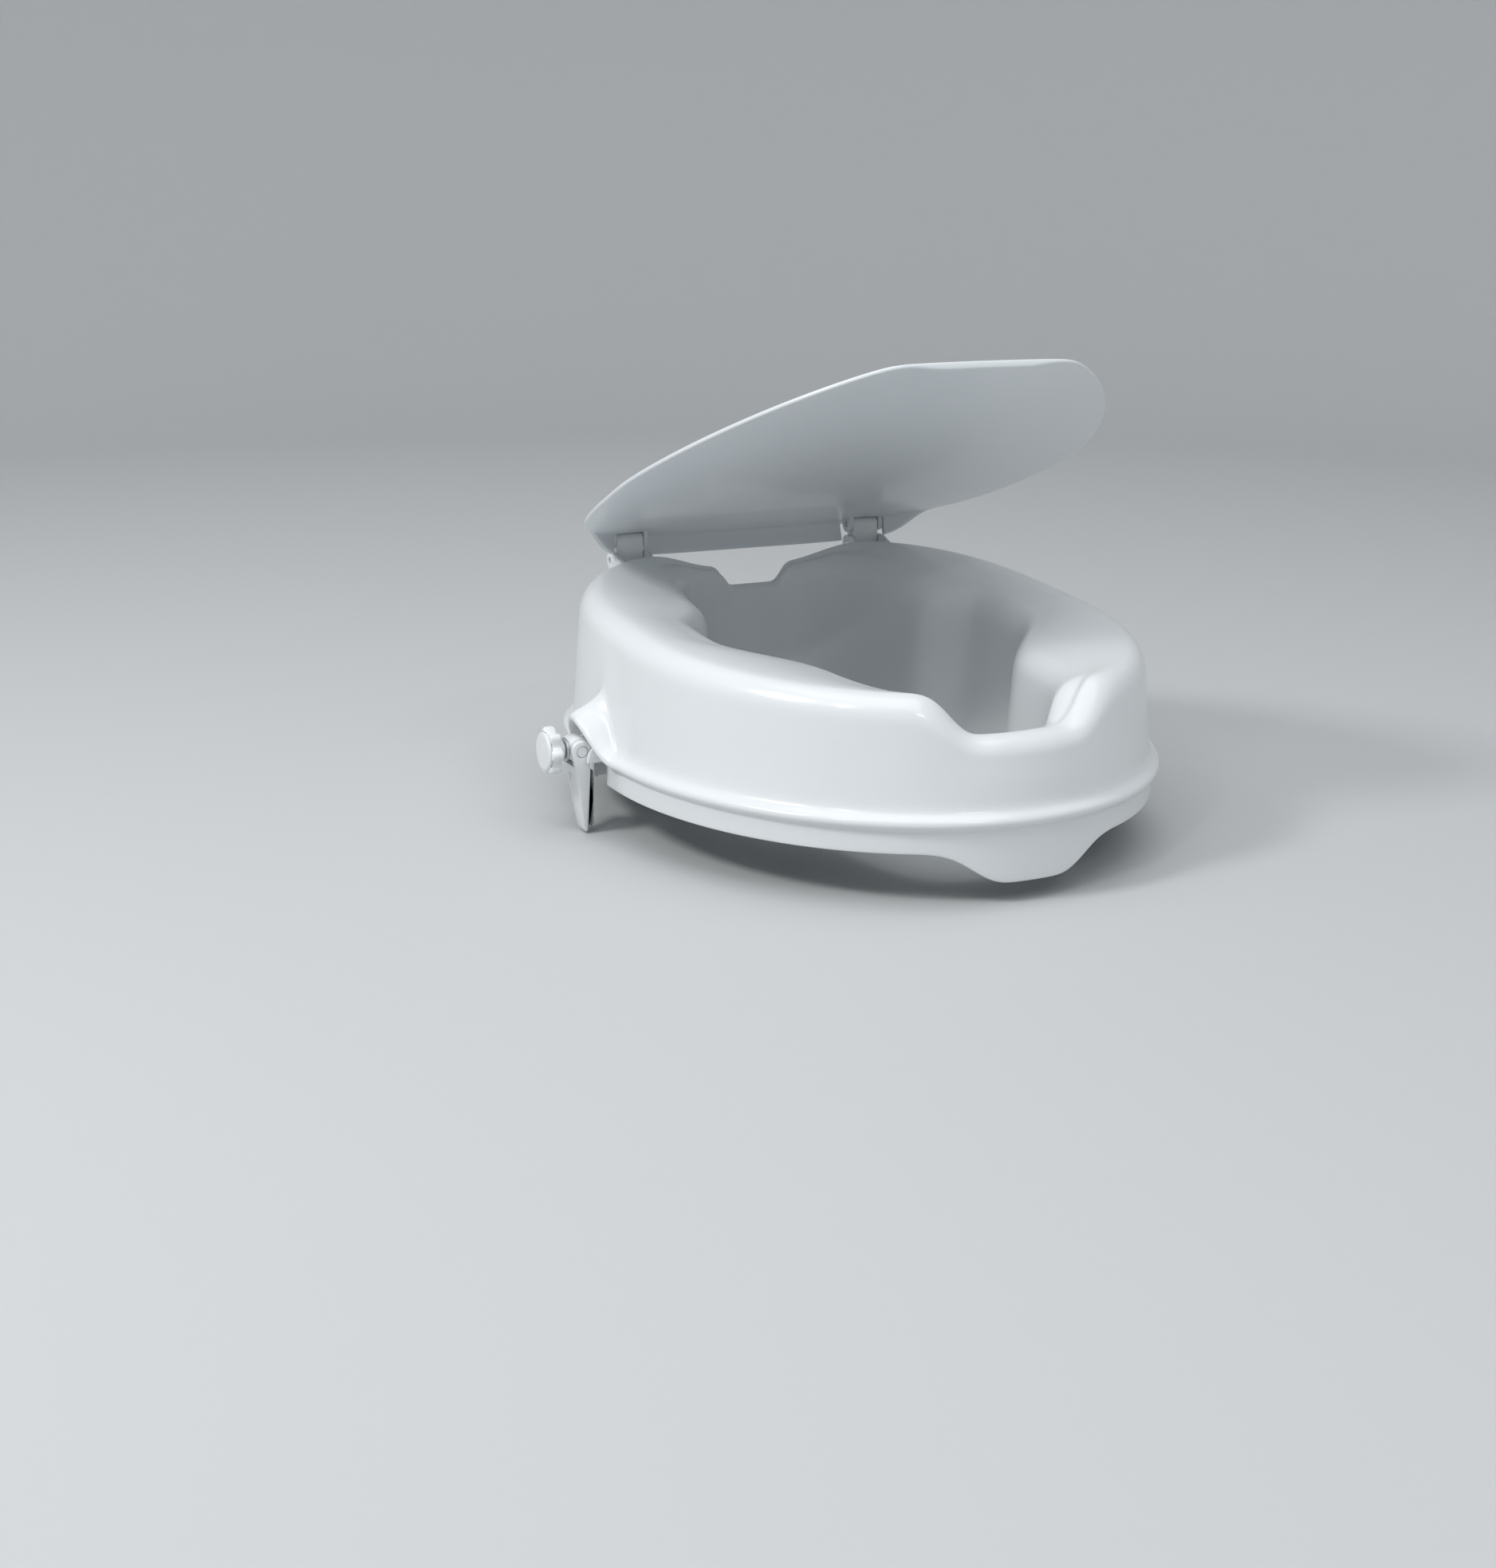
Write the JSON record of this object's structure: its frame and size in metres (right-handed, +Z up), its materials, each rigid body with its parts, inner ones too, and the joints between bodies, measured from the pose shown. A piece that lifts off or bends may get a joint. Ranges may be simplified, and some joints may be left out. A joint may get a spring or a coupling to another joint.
{
  "type": "raised toilet seat",
  "caption": "Raised toilet seat: a moulded ring with padded-shape top and hygiene recesses, a hinged lid, and a screw clamp on each side that grips the bowl.",
  "frame": {"origin": "centre of the plane in which the seat's rubber pads rest on the rim of the toilet bowl", "axes": "+Z up, -Y towards the front of the seat, +X towards the right-hand side as seen from the front"},
  "size_m": [0.4302, 0.4127, 0.3032],
  "materials": {
    "shell_plastic": "white moulded polypropylene, glossy on top",
    "lid_plastic": "white moulded plastic, glossy",
    "fitting_plastic": "white moulded plastic fittings",
    "pad_rubber": "grey rubber, matt",
    "grip_rubber": "grey speckled rubber with teeth",
    "zinc_steel": "bright zinc-plated steel"
  },
  "bodies": {
    "seat": {"seat_body": "shell_plastic", "rim_pad_front_left": "pad_rubber", "rim_pad_front_right": "pad_rubber", "rim_pad_rear_left": "pad_rubber", "rim_pad_rear_right": "pad_rubber", "seat_hinge_pin_left": "zinc_steel", "seat_hinge_pin_right": "zinc_steel", "captive_nut_left": "zinc_steel", "captive_nut_right": "zinc_steel"},
    "links": {"hinge_link_left": "fitting_plastic", "hinge_link_right": "fitting_plastic", "lid_hinge_pin_left": "zinc_steel", "lid_hinge_pin_right": "zinc_steel"},
    "lid": {"lid": "lid_plastic"},
    "left_carriage": {"clamp_barrel_left": "fitting_plastic", "thrust_washer_left": "zinc_steel"},
    "left_screw": {"clamp_knob_left": "fitting_plastic", "knob_cap_left": "fitting_plastic", "clamp_spindle_left": "zinc_steel", "retaining_ring_left": "zinc_steel"},
    "left_arm": {"clamp_arm_left": "fitting_plastic", "grip_pad_left": "grip_rubber"},
    "right_carriage": {"clamp_barrel_right": "fitting_plastic", "thrust_washer_right": "zinc_steel"},
    "right_screw": {"clamp_knob_right": "fitting_plastic", "knob_cap_right": "fitting_plastic", "clamp_spindle_right": "zinc_steel", "retaining_ring_right": "zinc_steel"},
    "right_arm": {"clamp_arm_right": "fitting_plastic", "grip_pad_right": "grip_rubber"}
  },
  "joints": [
    {"name": "link_turn", "type": "hinge", "parent": "seat", "child": "links", "pos_m": [0, 0.175, 0.11], "axis": [-1, 0, 0], "range_deg": [0, 55]},
    {"name": "lid_turn", "type": "hinge", "parent": "links", "child": "lid", "pos_m": [0, 0.175, 0.124], "axis": [-1, 0, 0], "range_deg": [-28, 20]},
    {"name": "clamp_slide_left", "type": "slide", "parent": "seat", "child": "left_carriage", "axis": [-1, 0, 0], "range_m": [-0.006, 0.008]},
    {"name": "knob_turn_left", "type": "hinge", "parent": "left_carriage", "child": "left_screw", "pos_m": [-0.192, 0.022, 0.022], "axis": [-1, 0, 0], "range_deg": [-1730, 2306]},
    {"name": "arm_tilt_left", "type": "hinge", "parent": "left_carriage", "child": "left_arm", "pos_m": [-0.192, 0.022, 0.022], "axis": [0, 1, 0], "range_deg": [-6, 12]},
    {"name": "clamp_slide_right", "type": "slide", "parent": "seat", "child": "right_carriage", "axis": [1, 0, 0], "range_m": [-0.006, 0.008]},
    {"name": "knob_turn_right", "type": "hinge", "parent": "right_carriage", "child": "right_screw", "pos_m": [0.192, 0.022, 0.022], "axis": [1, 0, 0], "range_deg": [-1730, 2306]},
    {"name": "arm_tilt_right", "type": "hinge", "parent": "right_carriage", "child": "right_arm", "pos_m": [0.192, 0.022, 0.022], "axis": [0, -1, 0], "range_deg": [-6, 12]}
  ],
  "couplings": [
    {"joint": "knob_turn_left", "follows": "clamp_slide_left", "rad_per_m": 5026.5},
    {"joint": "knob_turn_right", "follows": "clamp_slide_right", "rad_per_m": 5026.5}
  ]
}
